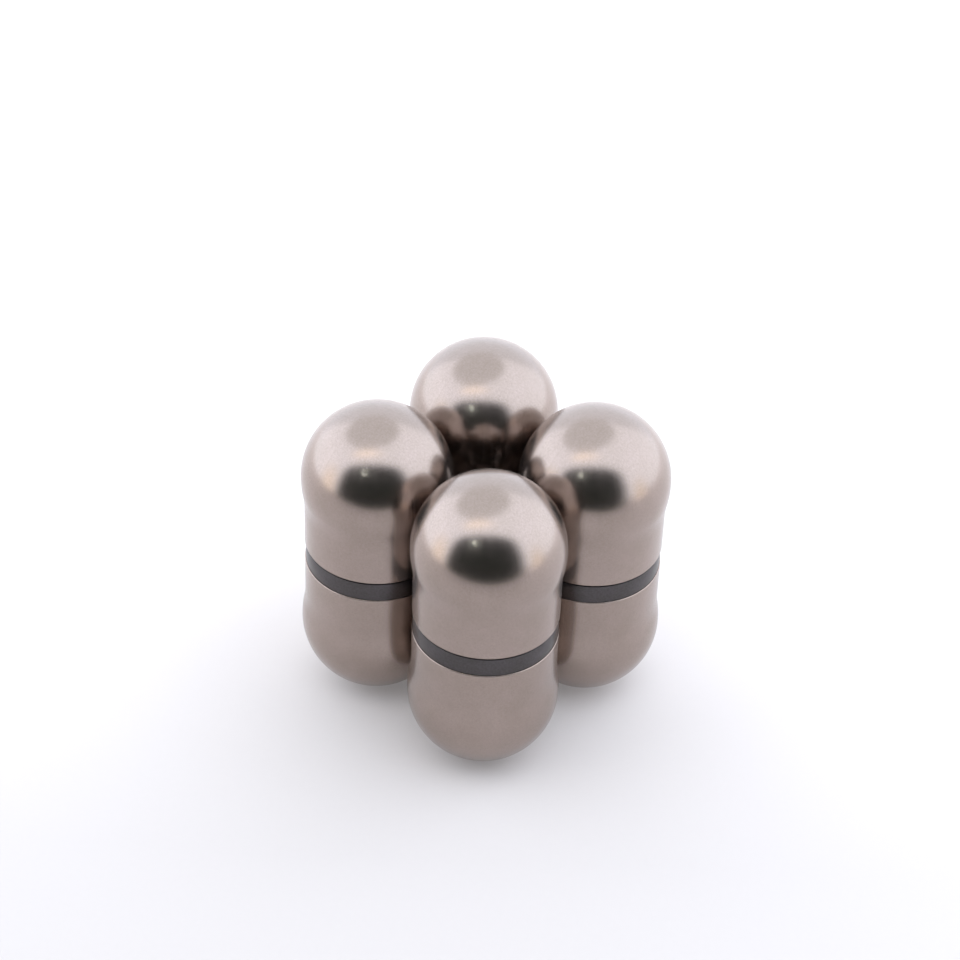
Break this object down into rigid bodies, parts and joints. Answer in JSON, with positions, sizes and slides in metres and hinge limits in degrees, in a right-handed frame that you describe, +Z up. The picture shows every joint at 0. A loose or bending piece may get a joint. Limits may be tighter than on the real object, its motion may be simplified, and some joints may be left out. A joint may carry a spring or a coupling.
{
  "type": "magnetic desk sculpture",
  "caption": "Block of upright waisted metal capsules that cling together by free-turning magnets inside and roll round one another on a desk.",
  "frame": {"origin": "on the desk, under the middle of the block of pods", "axes": "+Z up along the pods, +X and +Y along the two sides of the square block; the front pod is at +X -Y"},
  "size_m": [0.05, 0.05, 0.0545],
  "materials": {
    "shell": "satin, fine bead blasted, cool grey metal",
    "band": "satin dark grey coated metal",
    "sleeve": "turned",
    "seal": "matte black",
    "bush": "matte natural white",
    "spindle": "ground",
    "magnet": "nickel plated",
    "spacer": "turned",
    "clip": "blackened spring steel"
  },
  "bodies": {
    "core_front": {"front_spindle": "spindle", "front_upper_magnet": "magnet", "front_lower_magnet": "magnet", "front_spacer": "spacer", "front_clips": "clip"},
    "shell_front": {"front_upper_shell": "shell", "front_lower_shell": "shell", "front_waist_band": "band", "front_sleeve": "sleeve", "front_seal_rings": "seal", "front_upper_bush": "bush", "front_lower_bush": "bush"},
    "core_left": {"left_spindle": "spindle", "left_upper_magnet": "magnet", "left_lower_magnet": "magnet", "left_spacer": "spacer", "left_clips": "clip"},
    "shell_left": {"left_upper_shell": "shell", "left_lower_shell": "shell", "left_waist_band": "band", "left_sleeve": "sleeve", "left_seal_rings": "seal", "left_upper_bush": "bush", "left_lower_bush": "bush"},
    "core_right": {"right_spindle": "spindle", "right_upper_magnet": "magnet", "right_lower_magnet": "magnet", "right_spacer": "spacer", "right_clips": "clip"},
    "shell_right": {"right_upper_shell": "shell", "right_lower_shell": "shell", "right_waist_band": "band", "right_sleeve": "sleeve", "right_seal_rings": "seal", "right_upper_bush": "bush", "right_lower_bush": "bush"},
    "core_back": {"back_spindle": "spindle", "back_upper_magnet": "magnet", "back_lower_magnet": "magnet", "back_spacer": "spacer", "back_clips": "clip"},
    "shell_back": {"back_upper_shell": "shell", "back_lower_shell": "shell", "back_waist_band": "band", "back_sleeve": "sleeve", "back_seal_rings": "seal", "back_upper_bush": "bush", "back_lower_bush": "bush"}
  },
  "joints": [
    {"name": "roll_left", "type": "hinge", "parent": "core_front", "child": "core_left", "pos_m": [0.01255, -0.01255, 0.02715], "axis": [0, 0, 1], "range_deg": [0, 104]},
    {"name": "roll_right", "type": "hinge", "parent": "core_front", "child": "core_right", "pos_m": [0.01255, -0.01255, 0.02715], "axis": [0, 0, 1], "range_deg": [-104, 0]},
    {"name": "pull_back", "type": "slide", "parent": "core_front", "child": "core_back", "axis": [-0.7071, 0.7071, 0], "range_m": [0, 0.06]},
    {"name": "spin_front", "type": "hinge", "parent": "core_front", "child": "shell_front", "pos_m": [0.01255, -0.01255, 0.02715], "axis": [0, 0, 1], "continuous": true},
    {"name": "spin_left", "type": "hinge", "parent": "core_left", "child": "shell_left", "pos_m": [-0.01255, -0.01255, 0.02715], "axis": [0, 0, 1], "continuous": true},
    {"name": "spin_right", "type": "hinge", "parent": "core_right", "child": "shell_right", "pos_m": [0.01255, 0.01255, 0.02715], "axis": [0, 0, 1], "continuous": true},
    {"name": "spin_back", "type": "hinge", "parent": "core_back", "child": "shell_back", "pos_m": [-0.01255, 0.01255, 0.02715], "axis": [0, 0, 1], "continuous": true}
  ],
  "couplings": [
    {"joint": "spin_left", "follows": "spin_front", "ratio": -1},
    {"joint": "spin_right", "follows": "spin_front", "ratio": -1},
    {"joint": "spin_back", "follows": "spin_front", "ratio": 1}
  ]
}
